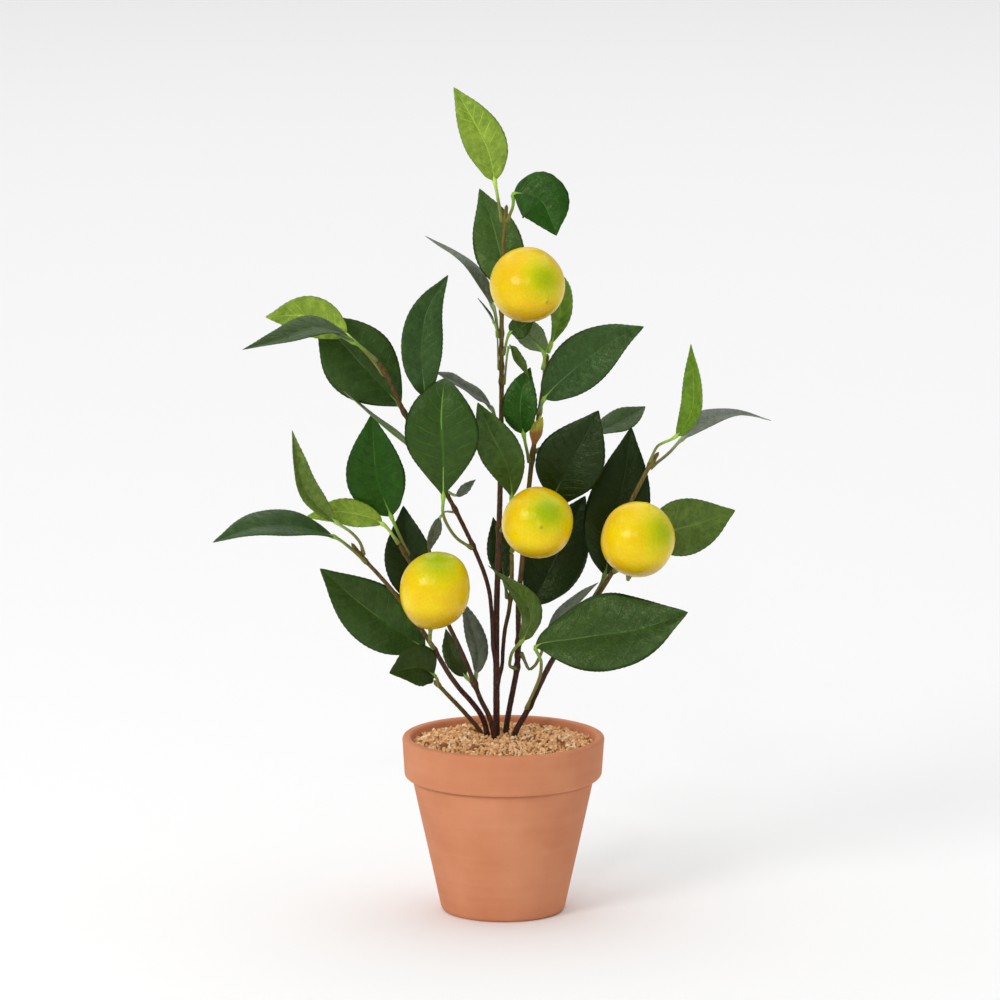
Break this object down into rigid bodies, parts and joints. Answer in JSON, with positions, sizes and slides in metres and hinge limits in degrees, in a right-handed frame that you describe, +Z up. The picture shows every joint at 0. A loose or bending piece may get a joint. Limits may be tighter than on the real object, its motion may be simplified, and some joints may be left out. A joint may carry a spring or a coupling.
{
  "type": "potted lemon tree",
  "caption": "Small lemon tree with slender branching stems, pointed oval leaves and round lemons, planted in a tapered terracotta pot with a thick rim.",
  "frame": {"origin": "centre of the pot's base, on the surface that it stands on", "axes": "+Z up along the pot's axis, +X to the tree's right and -Y its front, where the big glossy leaves and the lemons face"},
  "size_m": [0.329, 0.189, 0.491],
  "materials": {
    "terracotta": "unglazed matte fired clay, light orange-brown",
    "potting_soil": "dark crumbly potting soil",
    "bark_topping": "small tan bark and grit chips",
    "stem_bark": "smooth dark brown bark, green near the tips",
    "lemon_peel": "yellow waxy peel with fine pores and a green patch",
    "fruit_stalk": "green fruit stalk and calyx",
    "leaf_mature": "leathery dark green leaf with a soft sheen and a paler midrib",
    "leaf_young": "thin light green young leaf with a soft sheen"
  },
  "bodies": {
    "root": {"bark_topping": "bark_topping", "leaf_crown_arched": "leaf_mature", "leaf_crown_back": "leaf_mature", "leaf_crown_pale": "leaf_young", "leaf_crown_ribbon": "leaf_mature", "leaf_crown_short": "leaf_mature", "leaf_crown_slender": "leaf_mature", "leaf_crown_wisp": "leaf_mature", "leaf_front_broad": "leaf_mature", "leaf_front_hanging": "leaf_mature", "leaf_front_small": "leaf_mature", "leaf_inner_left_narrow": "leaf_mature", "leaf_inner_left_pale": "leaf_young", "leaf_inner_left_shaded": "leaf_mature", "leaf_inner_left_slender": "leaf_mature", "leaf_inner_left_upright": "leaf_mature", "leaf_leader_front": "leaf_mature", "leaf_leader_level": "leaf_mature", "leaf_left_broad": "leaf_mature", "leaf_left_drooping": "leaf_mature", "leaf_left_upright": "leaf_mature", "leaf_lemon_side": "leaf_mature", "leaf_lemon_under": "leaf_mature", "leaf_lower_left_folded": "leaf_mature", "leaf_middle_broad": "leaf_mature", "leaf_middle_far": "leaf_mature", "leaf_middle_grey": "leaf_mature", "leaf_middle_ribbed": "leaf_mature", "leaf_middle_shaded": "leaf_mature", "leaf_middle_twisted": "leaf_mature", "leaf_right_glossy": "leaf_mature", "leaf_right_high_broad": "leaf_mature", "leaf_right_shaded": "leaf_mature", "leaf_right_side": "leaf_mature", "leaf_right_tip_arched": "leaf_mature", "leaf_right_tip_pale": "leaf_young", "leaf_short_shaded": "leaf_mature", "leaf_upper_left_arched": "leaf_mature", "leaf_upper_left_broad": "leaf_mature", "leaf_upper_left_edge": "leaf_mature", "leaf_upper_left_pale": "leaf_young", "leaf_upper_left_upright": "leaf_mature", "lemon_left": "lemon_peel", "lemon_middle": "lemon_peel", "lemon_right": "lemon_peel", "lemon_top": "lemon_peel", "pot": "terracotta", "potting_soil": "potting_soil", "stalk_left_lemon": "fruit_stalk", "stalk_middle_lemon": "fruit_stalk", "stalk_right_lemon": "fruit_stalk", "stalk_top_lemon": "fruit_stalk", "stem_inner_left": "stem_bark", "stem_leader": "stem_bark", "stem_left": "stem_bark", "stem_lower_left": "stem_bark", "stem_middle": "stem_bark", "stem_right": "stem_bark", "stem_short": "stem_bark", "stem_upper_left": "stem_bark"}
  },
  "joints": []
}
